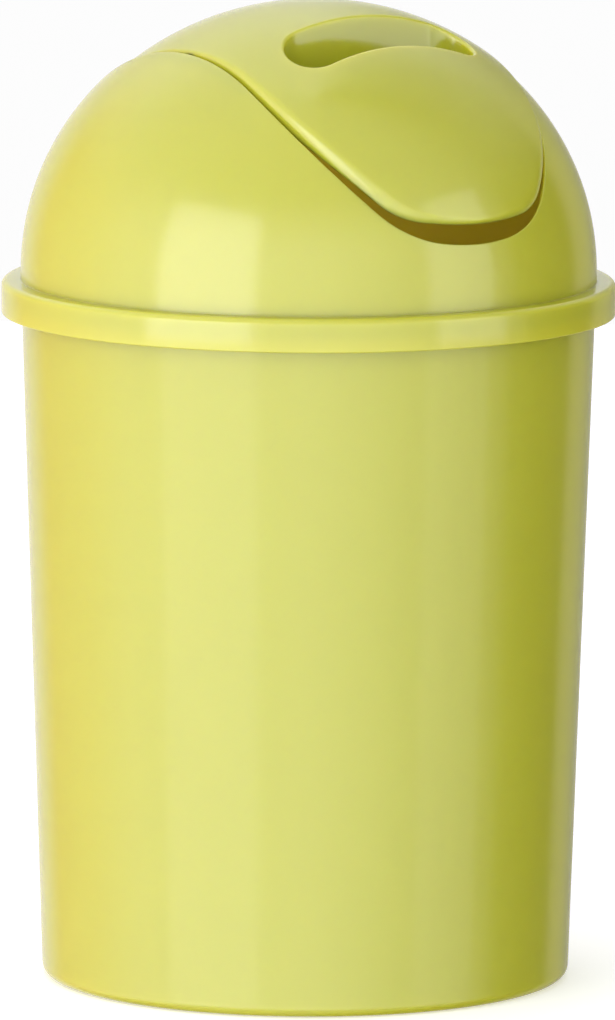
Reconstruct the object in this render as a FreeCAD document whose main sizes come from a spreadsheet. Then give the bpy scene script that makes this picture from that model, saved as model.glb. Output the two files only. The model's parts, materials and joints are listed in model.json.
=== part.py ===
import FreeCAD, Part
import math
import os
import re
import Sketcher

# A swing-top waste bin: tapered body, lift-off domed lid, swinging flap and the two pins that carry it.
# Millimetres, +Z up, origin in the middle of the foot, front towards -Y, hinge axis along X.

# Sizes of the pieces. Angles are in degrees.
SIZES = (
    ("bin_height", 284.0, "top of the bin's lip"),
    ("bin_foot_radius", 107.5, "outside of the wall at the foot"),
    ("bin_mouth_radius", 117.0, "outside of the wall at the lip"),
    ("bin_wall", 2.0, "wall of the bin"),
    ("bin_floor", 2.4, "floor of the bin"),
    ("foot_ring_width", 10.0, "flat ring that the bin stands on, with its rounding"),
    ("foot_ring_height", 2.5, "rise of the floor inside the foot ring"),
    ("foot_rounding", 4.5, "rounding of the foot's outer edge"),
    ("lip_reach", 5.4, "outside of the turned-over lip past the wall"),
    ("lip_thickness", 2.0, "top of the lip"),
    ("lip_wall", 1.8, "wall of the lip's skirt"),
    ("lip_depth", 7.0, "height of the lip's skirt"),
    ("lip_rounding", 0.7, "rounding of the lip's top edges"),
    ("band_height", 13.5, "height of the lid's rim band"),
    ("band_wall", 2.0, "wall of the rim band"),
    ("band_top", 2.0, "plate between the rim band and the dome"),
    ("band_rounding", 2.5, "rounding of the rim band's top edge"),
    ("lip_clearance", 0.6, "between the bin's lip and the rim band"),
    ("ring_depth", 8.0, "reach of the lid's locating ring into the mouth"),
    ("ring_wall", 2.0, "wall of the locating ring"),
    ("ring_clearance", 0.35, "between the locating ring and the bin's wall"),
    ("band_step", 7.8, "width of the rim band's step outside the dome"),
    ("dome_foot_height", 3.6, "upright part of the dome's foot"),
    ("dome_height", 114.7, "top of the dome above the rim band"),
    ("shoulder_turn", 49.3, "turn of the dome's side before the crown takes over"),
    ("lid_wall", 2.2, "wall of the dome"),
    ("opening_half_width", 63.6, "from the middle to the opening's straight side"),
    ("opening_end_radius", 73.0, "middle arc of the opening's ends, seen along the cut"),
    ("opening_end_turn", 12.0, "turn of that middle arc to either side"),
    ("opening_corner_radius", 42.5, "corner arcs of the opening's ends"),
    ("opening_side_radius", 122.0, "arcs from those corners to the straight sides"),
    ("sill_height", 26.9, "lowest point of the opening above the rim band"),
    ("cut_angle", 40.0, "slope of the opening's end cuts"),
    ("cut_overrun", 5.0, "reach of the cuts past what they cut"),
    ("flange_wall", 2.2, "side flanges inside the dome"),
    ("flange_half_length", 44.0, "side flanges, from the middle to either end"),
    ("flange_drop", 9.0, "lower edge of the side flanges under the hinge axis"),
    ("side_clearance", 1.3, "between the flap and the opening's sides"),
    ("end_clearance", 3.8, "between the shut flap and the opening's sill"),
    ("flap_end_radius", 79.0, "middle arc of the flap's ends, seen along the cut"),
    ("flap_end_turn", 18.0, "turn of that middle arc to either side"),
    ("flap_corner_radius", 30.0, "corner arcs of the flap's ends"),
    ("flap_wall", 2.0, "wall of the flap"),
    ("flap_skirt_depth", 10.0, "skirt along the flap's sides, over the hinge"),
    ("flap_top_rounding", 1.5, "flap's edge over the hinge"),
    ("flap_corner_rounding", 6.0, "flap's edge at the corners of its ends"),
    ("flap_end_rounding", 1.5, "flap's edge in the middle of its ends"),
    ("pocket_length", 88.0, "finger pocket along the hinge axis"),
    ("pocket_width", 24.0, "finger pocket from front to back"),
    ("pocket_forward", 47.4, "middle of the finger pocket in front of the dome's axis"),
    ("pocket_drop", 32.0, "floor of the finger pocket under the top of the dome"),
    ("pocket_wall", 1.8, "wall and floor of the finger pocket"),
    ("pocket_rounding", 1.3, "rounding of the finger pocket's lip"),
    ("pivot_drop", 26.7, "hinge axis under the top of the dome"),
    ("pivot_forward", 3.3, "hinge axis in front of the dome's axis"),
    ("rest_tilt", 2.7, "flap's lean at rest, front end up"),
    ("ear_radius", 9.0, "flap's ears round the pins"),
    ("pin_radius", 3.0, "hinge pins"),
    ("pin_clearance", 0.08, "running clearance round the pins in the lid"),
    ("pin_fit", 0.02, "clearance round the pins in the flap's ears"),
    ("pin_head_radius", 5.0, "head of the pins, inside the ears"),
    ("pin_head_thickness", 1.6, "thickness of the pins' heads"),
    ("pin_overhang", 1.2, "reach of the pins past the flanges"),
    ("pin_chamfer", 0.6, "chamfer of the pins' tips"),
)

# Sizes that follow from those.
FORMULAS = (
    ("wall_taper", "(bin_mouth_radius - bin_foot_radius) / bin_height", "spread of the wall per height"),
    ("lip_radius", "bin_mouth_radius + lip_reach", "outside of the bin's lip"),
    ("band_radius", "lip_radius + lip_clearance + band_wall", "outside of the rim band"),
    ("dome_foot_radius", "band_radius - band_step", "outside of the dome at its foot"),
    ("recess_radius", "bin_foot_radius - foot_ring_width", "inside of the foot ring"),
    ("ring_room", "min(bin_mouth_radius; bin_mouth_radius - wall_taper * ring_depth) - bin_wall",
     "narrowest inside of the wall round the locating ring"),
    ("ring_radius", "ring_room - ring_clearance", "outside of the locating ring"),
    ("dome_base", "bin_height + band_top", "height of the dome's foot"),
    ("dome_rise", "dome_height - dome_foot_height", "height of the dome's curved part"),
    ("crown_share", "(1 - sin(shoulder_turn)) / cos(shoulder_turn)", "rise of the crown per reach"),
    ("shoulder_share", "sin(shoulder_turn) - crown_share * (1 - cos(shoulder_turn))",
     "rise of the shoulder per radius"),
    ("shoulder_radius", "(dome_rise - dome_foot_radius * crown_share) / shoulder_share", "dome's side arc"),
    ("crown_radius", "(dome_foot_radius - shoulder_radius * (1 - cos(shoulder_turn))) / cos(shoulder_turn)",
     "dome's top arc"),
    ("sill_rise", "sill_height - dome_foot_height", "sill above the dome's upright foot"),
    ("sill_reach", "dome_foot_radius - shoulder_radius + sqrt(shoulder_radius^2 - sill_rise^2)",
     "dome's outside at the sill"),
    ("opening_low", "sill_height * cos(cut_angle) - sill_reach * sin(cut_angle)",
     "opening's end, seen along the cut"),
    ("opening_spread", "(opening_end_radius - opening_corner_radius) * sin(opening_end_turn)",
     "middles of the opening's corner arcs"),
    ("opening_corner_share", "(opening_side_radius - opening_half_width + opening_spread)"
     " / (opening_side_radius - opening_corner_radius)", "sine of the turn at the end of its corner arcs"),
    ("cut_top", "dome_height * cos(cut_angle) + cut_overrun", "top of the cut, seen along it"),
    ("pivot_height", "dome_base + dome_height - pivot_drop", "hinge axis above the ground"),
    ("flap_half_width", "opening_half_width - side_clearance", "flap's straight sides"),
    ("flap_low", "opening_low + end_clearance", "flap's end, seen along the cut"),
    ("flap_side_radius", "opening_side_radius - side_clearance", "arcs from its corners to its sides"),
    ("flap_spread", "(flap_end_radius - flap_corner_radius) * sin(flap_end_turn)",
     "middles of the flap's corner arcs"),
    ("flap_corner_share", "(flap_side_radius - flap_half_width + flap_spread)"
     " / (flap_side_radius - flap_corner_radius)", "sine of the turn at the end of its corner arcs"),
    ("flap_corner_reach", "flap_spread + flap_corner_radius * flap_corner_share",
     "from the middle to the end of the flap's corner arcs"),
    ("ear_face", "flap_half_width - flap_wall", "inner faces of the ears"),
    ("pocket_floor", "dome_base + dome_height - pocket_drop", "inside floor of the finger pocket"),
)

# Places of points within a sketch's lines and arcs, and its axes.
START, END, CENTRE = range(1, 4)
UP_AXIS, LEVEL_AXIS = range(-2, 0)
ORIGIN = (LEVEL_AXIS, START)

# Lines and arcs of the sketches, in their order round the outline.
FOOT_LINE, WALL_LINE, SHOULDER_ARC, CROWN_ARC, AXIS_LINE = range(5)
END_RIGHT, CORNER_RIGHT, SIDE_RIGHT, LINE_RIGHT, TOP_LINE = range(5)
LINE_LEFT, SIDE_LEFT, CORNER_LEFT, END_LEFT = range(5, 9)
ROUND_RIGHT, BACK_LINE, ROUND_LEFT, FRONT_LINE = range(4)

# Directions, and the plane of the upright sections.
ACROSS = FreeCAD.Vector(1, 0, 0)
BACKWARDS = FreeCAD.Vector(0, 1, 0)
UPWARDS = FreeCAD.Vector(0, 0, 1)
UPRIGHT = FreeCAD.Rotation(ACROSS, 90)

doc = FreeCAD.newDocument("swing_bin")
sheet = doc.addObject("Spreadsheet::Sheet", "Sizes")


def fill_sheet():
    """Writes the sizes and the formulas into the sheet, with their names and meanings."""
    rows = [(alias, str(value), note) for alias, value, note in SIZES]
    rows += [(alias, "=" + formula, note) for alias, formula, note in FORMULAS]
    for number, (alias, content, note) in enumerate(rows, start=1):
        sheet.set("A%d" % number, alias)
        sheet.set("B%d" % number, content)
        sheet.set("C%d" % number, note)
        sheet.setAlias("B%d" % number, alias)
    doc.recompute()


def bound(text):
    """The text as an expression in which each name is read from the sheet."""
    return re.sub(r"[a-z]+(_[a-z]+)+", r"Sizes.\g<0>", text)


def value(text):
    """What an expression of sizes comes to."""
    return float(sheet.evalExpression(bound(text)))


def tie(item, **texts):
    """Binds properties of an object to expressions of sizes."""
    for name, text in texts.items():
        item.setExpression(name.replace("__", "."), bound(text))
    return item


def dimension(sketch, kind, place, text):
    """Adds a dimension to a sketch and binds it to an expression of sizes."""
    number = sketch.addConstraint(Sketcher.Constraint(kind, *place, value(text)))
    sketch.setExpression("Constraints[%d]" % number, bound(text))


def put_point(sketch, point, across, up):
    """Holds a point of a sketch at its place from the origin, or on the upright axis."""
    if across == "0":
        sketch.addConstraint(Sketcher.Constraint("PointOnObject", *point, UP_AXIS))
    else:
        dimension(sketch, "DistanceX", ORIGIN + point, across)
    if up == "0":
        sketch.addConstraint(Sketcher.Constraint("PointOnObject", *point, LEVEL_AXIS))
    else:
        dimension(sketch, "DistanceY", ORIGIN + point, up)


def draw_corners(sketch, corners):
    """Draws a closed outline of straight lines through corners given as pairs of expressions."""
    points = [FreeCAD.Vector(value(across), value(up), 0) for across, up in corners]
    count = len(points)
    for number in range(count):
        sketch.addGeometry(Part.LineSegment(points[number], points[(number + 1) % count]))
    for number in range(count):
        sketch.addConstraint(Sketcher.Constraint("Coincident", number, END, (number + 1) % count, START))
    for number, (across, up) in enumerate(corners):
        put_point(sketch, (number, START), across, up)


def arc(middle, radius, start, stop):
    """An arc about a point of the sketch, from one angle to another, in degrees."""
    circle = Part.Circle(middle, UPWARDS, radius)
    return Part.ArcOfCircle(circle, math.radians(start), math.radians(stop))


def join(sketch, kind, first, second):
    """Joins the ends of two lines or arcs, tangent or not."""
    sketch.addConstraint(Sketcher.Constraint(kind, *first, *second))


def body_sketch(body, name, role):
    """A sketch on one of a body's own planes."""
    sketch = body.newObject("Sketcher::SketchObject", name)
    plane = [item for item in body.Origin.OriginFeatures if item.Role == role][0]
    sketch.AttachmentSupport = [(plane, "")]
    sketch.MapMode = "FlatFace"
    return sketch


def find_edges(shape, test):
    """Numbers of the edges that pass a test of their middle point and of the edge."""
    found = []
    for number, edge in enumerate(shape.Edges, start=1):
        if not edge.Degenerated:
            middle = edge.valueAt((edge.FirstParameter + edge.LastParameter) / 2)
            if test(middle, edge):
                found.append(number)
    return found


def ends_dome(shape, edge):
    """Whether an edge parts the dome's outside or inside from a straight or round side."""
    kinds = {type(face.Surface) for face in shape.ancestorsOfType(edge, Part.Face)}
    dome_kinds, side_kinds = {Part.Sphere, Part.SurfaceOfRevolution}, {Part.Plane, Part.Cylinder}
    return bool(kinds & dome_kinds) and bool(kinds & side_kinds)


def combine(kind, name, first, others):
    """A boolean of the first object with each of the others."""
    result = first
    for number, other in enumerate(others):
        step = doc.addObject(kind, "%s_%d" % (name, number) if number + 1 < len(others) else name)
        step.Base = result
        step.Tool = other
        result = step
    return result


def mirror(name, source, normal):
    """The source mirrored in a plane through the dome's axis."""
    copy = doc.addObject("Part::Mirroring", name)
    copy.Source = source
    copy.Normal = normal
    return copy


# The bin


def make_bin():
    """The tapered body: wall, floor raised inside the foot ring, and lip turned over at the mouth."""
    body = doc.addObject("PartDesign::Body", "bin_body")
    sketch = body_sketch(body, "bin_section", "XZ_Plane")
    draw_corners(sketch, (
        ("0", "foot_ring_height"),
        ("recess_radius - foot_ring_height", "foot_ring_height"),
        ("recess_radius", "0"),
        ("bin_foot_radius", "0"),
        ("bin_mouth_radius - wall_taper * lip_thickness", "bin_height - lip_thickness"),
        ("lip_radius - lip_wall", "bin_height - lip_thickness"),
        ("lip_radius - lip_wall", "bin_height - lip_depth"),
        ("lip_radius", "bin_height - lip_depth"),
        ("lip_radius", "bin_height"),
        ("bin_mouth_radius - bin_wall", "bin_height"),
        ("bin_foot_radius + wall_taper * bin_floor - bin_wall", "bin_floor"),
        ("recess_radius", "bin_floor"),
        ("recess_radius - foot_ring_height", "foot_ring_height + bin_floor"),
        ("0", "foot_ring_height + bin_floor"),
    ))
    turned = body.newObject("PartDesign::Revolution", "bin_turned")
    turned.Profile = sketch
    turned.ReferenceAxis = (sketch, ["V_Axis"])
    turned.Angle = 360
    doc.recompute()
    slack = value("lip_rounding")
    base = round_rings(body, turned, "foot_rounded", "foot_rounding", [("bin_foot_radius", "0")], slack)
    inner_foot = [("bin_foot_radius + wall_taper * bin_floor - bin_wall", "bin_floor")]
    base = round_rings(body, base, "floor_rounded", "foot_rounding - bin_wall", inner_foot, slack)
    lip_edges = [("lip_radius", "bin_height"), ("bin_mouth_radius - bin_wall", "bin_height")]
    round_rings(body, base, "lip_rounded", "lip_rounding", lip_edges, slack)
    return body


def round_rings(body, base, name, radius, rings, slack):
    """Rounds the edges of a turned body that run round it at given radii and heights."""
    places = [(value(across), value(up)) for across, up in rings]

    def on_ring(middle, edge):
        reach = math.hypot(middle.x, middle.y)
        near = [abs(reach - across) < slack and abs(middle.z - up) < slack for across, up in places]
        return any(near) and len(edge.Vertexes) == 1

    edges = find_edges(base.Shape, on_ring)
    rounded = body.newObject("PartDesign::Fillet", name)
    rounded.Base = (base, ["Edge%d" % number for number in edges])
    tie(rounded, Radius=radius)
    doc.recompute()
    return rounded


# Forms that the lid and the flap share


def make_dome(name, inset):
    """Solid dome, set in by an expression: upright foot, side arc and crown arc, all tangent."""
    foot, side, crown = (value("%s_radius - (%s)" % (word, inset))
                         for word in ("dome_foot", "shoulder", "crown"))
    base, start, turn = value("dome_base"), value("dome_base + dome_foot_height"), value("shoulder_turn")
    side_middle = FreeCAD.Vector(foot - side, start, 0)
    crown_middle = FreeCAD.Vector(0, start + (side - crown) * math.sin(math.radians(turn)), 0)
    top = FreeCAD.Vector(0, crown_middle.y + crown, 0)
    axis_foot = FreeCAD.Vector(0, base, 0)
    rim_foot, rim_top = FreeCAD.Vector(foot, base, 0), FreeCAD.Vector(foot, start, 0)
    sketch = doc.addObject("Sketcher::SketchObject", name + "_section")
    sketch.Placement.Rotation = UPRIGHT
    sketch.addGeometry(Part.LineSegment(axis_foot, rim_foot))
    sketch.addGeometry(Part.LineSegment(rim_foot, rim_top))
    sketch.addGeometry(arc(side_middle, side, 0, turn))
    sketch.addGeometry(arc(crown_middle, crown, turn, 90))
    sketch.addGeometry(Part.LineSegment(top, axis_foot))
    join(sketch, "Coincident", (FOOT_LINE, END), (WALL_LINE, START))
    join(sketch, "Tangent", (WALL_LINE, END), (SHOULDER_ARC, START))
    join(sketch, "Tangent", (SHOULDER_ARC, END), (CROWN_ARC, START))
    join(sketch, "Coincident", (CROWN_ARC, END), (AXIS_LINE, START))
    join(sketch, "Coincident", (AXIS_LINE, END), (FOOT_LINE, START))
    sketch.addConstraint(Sketcher.Constraint("Vertical", WALL_LINE))
    sketch.addConstraint(Sketcher.Constraint("PointOnObject", CROWN_ARC, CENTRE, UP_AXIS))
    sketch.addConstraint(Sketcher.Constraint("PointOnObject", CROWN_ARC, END, UP_AXIS))
    put_point(sketch, (FOOT_LINE, START), "0", "dome_base")
    put_point(sketch, (WALL_LINE, START), "dome_foot_radius - (%s)" % inset, "dome_base")
    dimension(sketch, "DistanceY", ORIGIN + (WALL_LINE, END), "dome_base + dome_foot_height")
    dimension(sketch, "Radius", (SHOULDER_ARC,), "shoulder_radius - (%s)" % inset)
    dimension(sketch, "Radius", (CROWN_ARC,), "crown_radius - (%s)" % inset)
    return turn_section(sketch, name)


def turn_section(sketch, name):
    """A section turned once round the upright axis."""
    turned = doc.addObject("Part::Revolution", name)
    turned.Source = sketch
    turned.Axis = UPWARDS
    turned.Angle = 360
    turned.Solid = True
    return turned


def make_tongue(name, kind, inset):
    """Prism along the sloping cut, with the outline of the opening's or the flap's front end, set in."""
    half, end, corner, side = (value("%s_%s - (%s)" % (kind, word, inset))
                               for word in ("half_width", "end_radius", "corner_radius", "side_radius"))
    low, high = value("%s_low + (%s)" % (kind, inset)), value("cut_top")
    first, second = value(kind + "_end_turn"), math.degrees(math.asin(value(kind + "_corner_share")))
    end_middle = FreeCAD.Vector(0, low + end, 0)
    corner_middle = end_middle + outwards(first) * (end - corner)
    side_middle = corner_middle + outwards(second) * (corner - side)
    turns = (0, first, second, 90)
    arcs = list(zip((end_middle, corner_middle, side_middle), (end, corner, side), turns, turns[1:]))
    right = [FreeCAD.Vector(half, up, 0) for up in (side_middle.y, high)]
    left = [FreeCAD.Vector(-half, up, 0) for up in (high, side_middle.y)]
    sides = right + left
    sketch = doc.addObject("Sketcher::SketchObject", name + "_outline")
    sketch.Placement.Rotation = UPRIGHT
    tie(sketch, Placement__Rotation__Angle="90 - cut_angle", Placement__Base__z="dome_base")
    for middle, radius, start, stop in arcs:
        sketch.addGeometry(arc(middle, radius, start - 90, stop - 90))
    for corner_point, next_point in zip(sides, sides[1:]):
        sketch.addGeometry(Part.LineSegment(corner_point, next_point))
    for middle, radius, start, stop in reversed(arcs):
        sketch.addGeometry(arc(FreeCAD.Vector(-middle.x, middle.y, 0), radius, 270 - stop, 270 - start))
    for number in range(sketch.GeometryCount):
        joint = "Coincident" if number in (LINE_RIGHT, TOP_LINE, END_LEFT) else "Tangent"
        join(sketch, joint, (number, END), ((number + 1) % sketch.GeometryCount, START))
    sketch.addConstraint(Sketcher.Constraint("PointOnObject", END_RIGHT, CENTRE, UP_AXIS))
    join(sketch, "Coincident", (END_RIGHT, CENTRE), (END_LEFT, CENTRE))
    sketch.addConstraint(Sketcher.Constraint("Vertical", LINE_RIGHT))
    sketch.addConstraint(Sketcher.Constraint("Vertical", LINE_LEFT))
    put_point(sketch, (END_RIGHT, START), "0", "%s_low + (%s)" % (kind, inset))
    dimension(sketch, "Radius", (END_RIGHT,), "%s_end_radius - (%s)" % (kind, inset))
    for number in (CORNER_RIGHT, CORNER_LEFT):
        dimension(sketch, "Radius", (number,), "%s_corner_radius - (%s)" % (kind, inset))
    for number in (SIDE_RIGHT, SIDE_LEFT):
        dimension(sketch, "Radius", (number,), "%s_side_radius - (%s)" % (kind, inset))
    for sign, point in (("", (END_RIGHT, END)), ("-", (END_LEFT, START))):
        across = "%s(%s_end_radius - (%s)) * sin(%s_end_turn)" % (sign, kind, inset, kind)
        dimension(sketch, "DistanceX", ORIGIN + point, across)
    for sign, point in (("", (TOP_LINE, START)), ("-", (TOP_LINE, END))):
        put_point(sketch, point, "%s(%s_half_width - (%s))" % (sign, kind, inset), "cut_top")
    prism = doc.addObject("Part::Extrusion", name)
    prism.Base = sketch
    prism.DirMode = "Normal"
    prism.Solid = True
    return tie(prism, LengthFwd="band_radius + dome_height")


def outwards(turn):
    """Direction from an arc's middle to the arc, at a turn from straight down, in degrees."""
    return FreeCAD.Vector(math.sin(math.radians(turn)), -math.cos(math.radians(turn)), 0)


def make_disc(name, radius, start, stop):
    """A disc about the hinge axis, between two distances to the right of the middle."""
    disc = doc.addObject("Part::Cylinder", name)
    disc.Placement.Rotation = FreeCAD.Rotation(BACKWARDS, 90)
    tie(disc, Placement__Base__y="-pivot_forward", Placement__Base__z="pivot_height")
    return tie(disc, Placement__Base__x=start, Radius=radius, Height="(%s) - (%s)" % (stop, start))


# The lid


def make_lid(dome):
    """Rim band and locating ring, dome with its long opening, and side flanges bored for the pins."""
    section = doc.addObject("Sketcher::SketchObject", "rim_section")
    section.Placement.Rotation = UPRIGHT
    draw_corners(section, (
        ("ring_radius - ring_wall", "bin_height - ring_depth"),
        ("ring_radius", "bin_height - ring_depth"),
        ("ring_radius", "bin_height"),
        ("band_radius - band_wall", "bin_height"),
        ("band_radius - band_wall", "dome_base - band_height"),
        ("band_radius", "dome_base - band_height"),
        ("band_radius", "dome_base"),
        ("ring_radius - ring_wall", "dome_base"),
    ))
    rim = turn_section(section, "rim_turned")
    doc.recompute()
    rounding, reach, top = value("band_rounding"), value("band_radius"), value("dome_base")
    slack = value("band_top / 2")

    def at_band_top(middle, edge):
        return abs(math.hypot(middle.x, middle.y) - reach) + abs(middle.z - top) < slack

    rounded = doc.addObject("Part::Fillet", "rim_rounded")
    rounded.Base = rim
    rounded.Edges = [(number, rounding, rounding) for number in find_edges(rim.Shape, at_band_top)]
    shell = combine("Part::Cut", "dome_shell", dome, [make_dome("dome_inside", "lid_wall")])
    front = make_tongue("opening_front", "opening", "0")
    back = mirror("opening_back", front, BACKWARDS)
    plate = doc.addObject("Part::Box", "flange_plate")
    tie(plate, Length="flange_wall", Width="2 * flange_half_length", Height="pivot_drop + flange_drop")
    tie(plate, Placement__Base__x="opening_half_width", Placement__Base__y="-flange_half_length")
    tie(plate, Placement__Base__z="pivot_height - flange_drop")
    right = combine("Part::Common", "flange_right", plate, [dome])
    left = mirror("flange_left", right, ACROSS)
    whole = combine("Part::Fuse", "lid_whole", rounded, [shell, right, left])
    bore_end = "opening_half_width + flange_wall + pin_overhang"
    bore = make_disc("lid_bore_right", "pin_radius + pin_clearance", "ear_face", bore_end)
    bores = [bore, mirror("lid_bore_left", bore, ACROSS)]
    return combine("Part::Cut", "dome_lid", whole, [front, back] + bores)


# The flap


def round_flap(block):
    """Rounds the edge of the flap's front half, most at the corners of its end."""
    top, corner, end = (value("flap_%s_rounding" % word) for word in ("top", "corner", "end"))
    corner_reach, foot = value("flap_corner_reach"), value("dome_base")
    slack = value("side_clearance")
    shape = block.Shape

    def along(point):
        """Grows along the edge from its left end to its right end."""
        return math.copysign(point.z - foot, point.x)

    def on_edge(middle, edge):
        return ends_dome(shape, edge) and middle.y < -slack

    numbers = find_edges(shape, on_edge)
    points = [vertex.Point for number in numbers for vertex in shape.Edges[number - 1].Vertexes]
    corner_ahead = max(-point.y for point in points if abs(point.x) > corner_reach - slack)

    def radius(point):
        if abs(point.x) < corner_reach - slack:
            return end + (corner - end) * abs(point.x) / corner_reach
        return top + (corner - top) * -point.y / corner_ahead

    lead = shape.Edges[numbers[0] - 1]
    rising = along(lead.valueAt(lead.LastParameter)) > along(lead.valueAt(lead.FirstParameter))
    rows = []
    for number in numbers:
        ends = [vertex.Point for vertex in shape.Edges[number - 1].Vertexes]
        ends.sort(key=along, reverse=not rising)
        rows.append((number, radius(ends[0]), radius(ends[1])))
    rounded = doc.addObject("Part::Fillet", "flap_front")
    rounded.Base = block
    rounded.Edges = rows
    return rounded


def make_obround(name, spread):
    """Upright prism with the finger pocket's outline, spread by an expression."""
    length, width = value("pocket_length / 2 + (%s)" % spread), value("pocket_width / 2 + (%s)" % spread)
    ahead = -value("pocket_forward")
    straight = length - width
    sketch = doc.addObject("Sketcher::SketchObject", name + "_outline")
    sketch.addGeometry(arc(FreeCAD.Vector(straight, ahead, 0), width, -90, 90))
    sketch.addGeometry(Part.LineSegment(FreeCAD.Vector(straight, ahead + width, 0),
                                        FreeCAD.Vector(-straight, ahead + width, 0)))
    sketch.addGeometry(arc(FreeCAD.Vector(-straight, ahead, 0), width, 90, 270))
    sketch.addGeometry(Part.LineSegment(FreeCAD.Vector(-straight, ahead - width, 0),
                                        FreeCAD.Vector(straight, ahead - width, 0)))
    for number in range(sketch.GeometryCount):
        join(sketch, "Tangent", (number, END), ((number + 1) % sketch.GeometryCount, START))
    sketch.addConstraint(Sketcher.Constraint("Equal", ROUND_RIGHT, ROUND_LEFT))
    dimension(sketch, "Radius", (ROUND_RIGHT,), "pocket_width / 2 + (%s)" % spread)
    put_point(sketch, (ROUND_RIGHT, CENTRE), "(pocket_length - pocket_width) / 2", "-pocket_forward")
    put_point(sketch, (ROUND_LEFT, CENTRE), "(pocket_width - pocket_length) / 2", "-pocket_forward")
    prism = doc.addObject("Part::Extrusion", name)
    prism.Base = sketch
    prism.DirMode = "Normal"
    prism.Solid = True
    tie(sketch, Placement__Base__z="pocket_floor - (%s)" % spread)
    return tie(prism, LengthFwd="pocket_drop + cut_overrun + (%s)" % spread)


def make_flap(dome):
    """Curved strap, hollow underneath, with a skirt, the finger pocket and ears; leaning as it rests."""
    tongue = make_tongue("flap_tongue", "flap", "0")
    front_room = doc.addObject("Part::Box", "front_room")
    tie(front_room, Length="2 * band_radius", Width="band_radius", Height="dome_height + cut_overrun")
    tie(front_room, Placement__Base__x="-band_radius", Placement__Base__y="-band_radius")
    tie(front_room, Placement__Base__z="dome_base")
    block = combine("Part::Common", "flap_block", dome, [tongue, front_room])
    doc.recompute()
    front = round_flap(block)
    strap = combine("Part::Fuse", "flap_strap", front, [mirror("flap_back", front, BACKWARDS)])
    strap.Refine = True
    inner = make_tongue("hollow_tongue", "flap", "flap_wall")
    hollow = combine("Part::Common", "hollow_front", make_dome("flap_inside", "flap_wall"), [inner])
    hollow_back = mirror("hollow_back", hollow, BACKWARDS)
    core = make_dome("core_front", "flap_skirt_depth")
    tie(core, Placement__Base__y="flap_wall - flap_skirt_depth")
    core_back = mirror("core_back", core, BACKWARDS)
    skin = combine("Part::Cut", "flap_skin", strap, [hollow, hollow_back, core, core_back])
    tub = combine("Part::Common", "pocket_tub", make_obround("pocket_outside", "pocket_wall"), [dome])
    disc = make_disc("ear_disc", "ear_radius", "ear_face", "flap_half_width")
    ear = combine("Part::Common", "ear_right", disc, [strap])
    whole = combine("Part::Fuse", "flap_whole", skin, [tub, ear, mirror("ear_left", ear, ACROSS)])
    bore = make_disc("flap_bore", "pin_radius + pin_fit", "-band_radius", "band_radius")
    cut = combine("Part::Cut", "flap_cut", whole, [make_obround("pocket_inside", "0"), bore])
    doc.recompute()
    flap = round_pocket(cut)
    pivot = "vector(0; -pivot_forward; pivot_height)"
    lean = "placement(vector(0; 0; 0); rotation(vector(1; 0; 0); -rest_tilt); %s)" % pivot
    return tie(flap, Placement=lean)


def round_pocket(flap):
    """Rounds the finger pocket's lip."""
    width, ahead, slack = value("pocket_width / 2"), value("pocket_forward"), value("pocket_wall / 2")
    straight = value("(pocket_length - pocket_width) / 2")
    radius = value("pocket_rounding")

    def on_lip(middle, edge):
        beyond = max(abs(middle.x) - straight, 0)
        on_outline = abs(math.hypot(beyond, middle.y + ahead) - width) < slack
        return on_outline and ends_dome(flap.Shape, edge)

    rounded = doc.addObject("Part::Fillet", "swing_flap")
    rounded.Base = flap
    rounded.Edges = [(number, radius, radius) for number in find_edges(flap.Shape, on_lip)]
    return rounded


# The pins


def make_pin(name, turn):
    """A headed pin through a flap's ear and a lid's flange, pointing outwards at a turn about Z."""
    body = doc.addObject("PartDesign::Body", name)
    sketch = body_sketch(body, name + "_section", "XY_Plane")
    tip = "opening_half_width + flange_wall + pin_overhang"
    draw_corners(sketch, (
        ("ear_face - pin_head_thickness", "0"),
        (tip, "0"),
        (tip, "pin_radius - pin_chamfer"),
        (tip + " - pin_chamfer", "pin_radius"),
        ("ear_face", "pin_radius"),
        ("ear_face", "pin_head_radius"),
        ("ear_face - pin_head_thickness", "pin_head_radius"),
    ))
    turned = body.newObject("PartDesign::Revolution", name + "_turned")
    turned.Profile = sketch
    turned.ReferenceAxis = (sketch, ["H_Axis"])
    turned.Angle = 360
    body.Placement.Rotation = FreeCAD.Rotation(UPWARDS, turn)
    return tie(body, Placement__Base__y="-pivot_forward", Placement__Base__z="pivot_height")


def check(pieces):
    """Stops if an object failed or a piece is not one whole solid."""
    for item in doc.Objects:
        if "Invalid" in item.State or "Error" in item.State:
            raise RuntimeError("%s failed: %s" % (item.Name, item.State))
    for piece in pieces:
        shape = piece.Shape
        if shape.isNull() or not shape.isValid() or len(shape.Solids) != 1:
            raise RuntimeError("%s is not one valid solid" % piece.Label)


def main():
    fill_sheet()
    dome = make_dome("dome_outside", "0")
    pieces = [make_bin(), make_lid(dome), make_flap(dome)]
    pieces += [make_pin("hinge_pin_right", 0), make_pin("hinge_pin_left", 180)]
    doc.recompute()
    check(pieces)
    os.makedirs("parts", exist_ok=True)
    for piece in pieces:
        piece.Shape.exportStep("parts/%s.step" % piece.Label)
        print("%-16s %9.0f mm3" % (piece.Label, piece.Shape.Volume))


main()
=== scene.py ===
import json
import math

import bmesh
import bpy
from bpy.props import FloatProperty, FloatVectorProperty, IntProperty, PointerProperty
from bpy.types import Operator, Panel, PropertyGroup
from mathutils import Matrix, Quaternion, Vector


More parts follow.
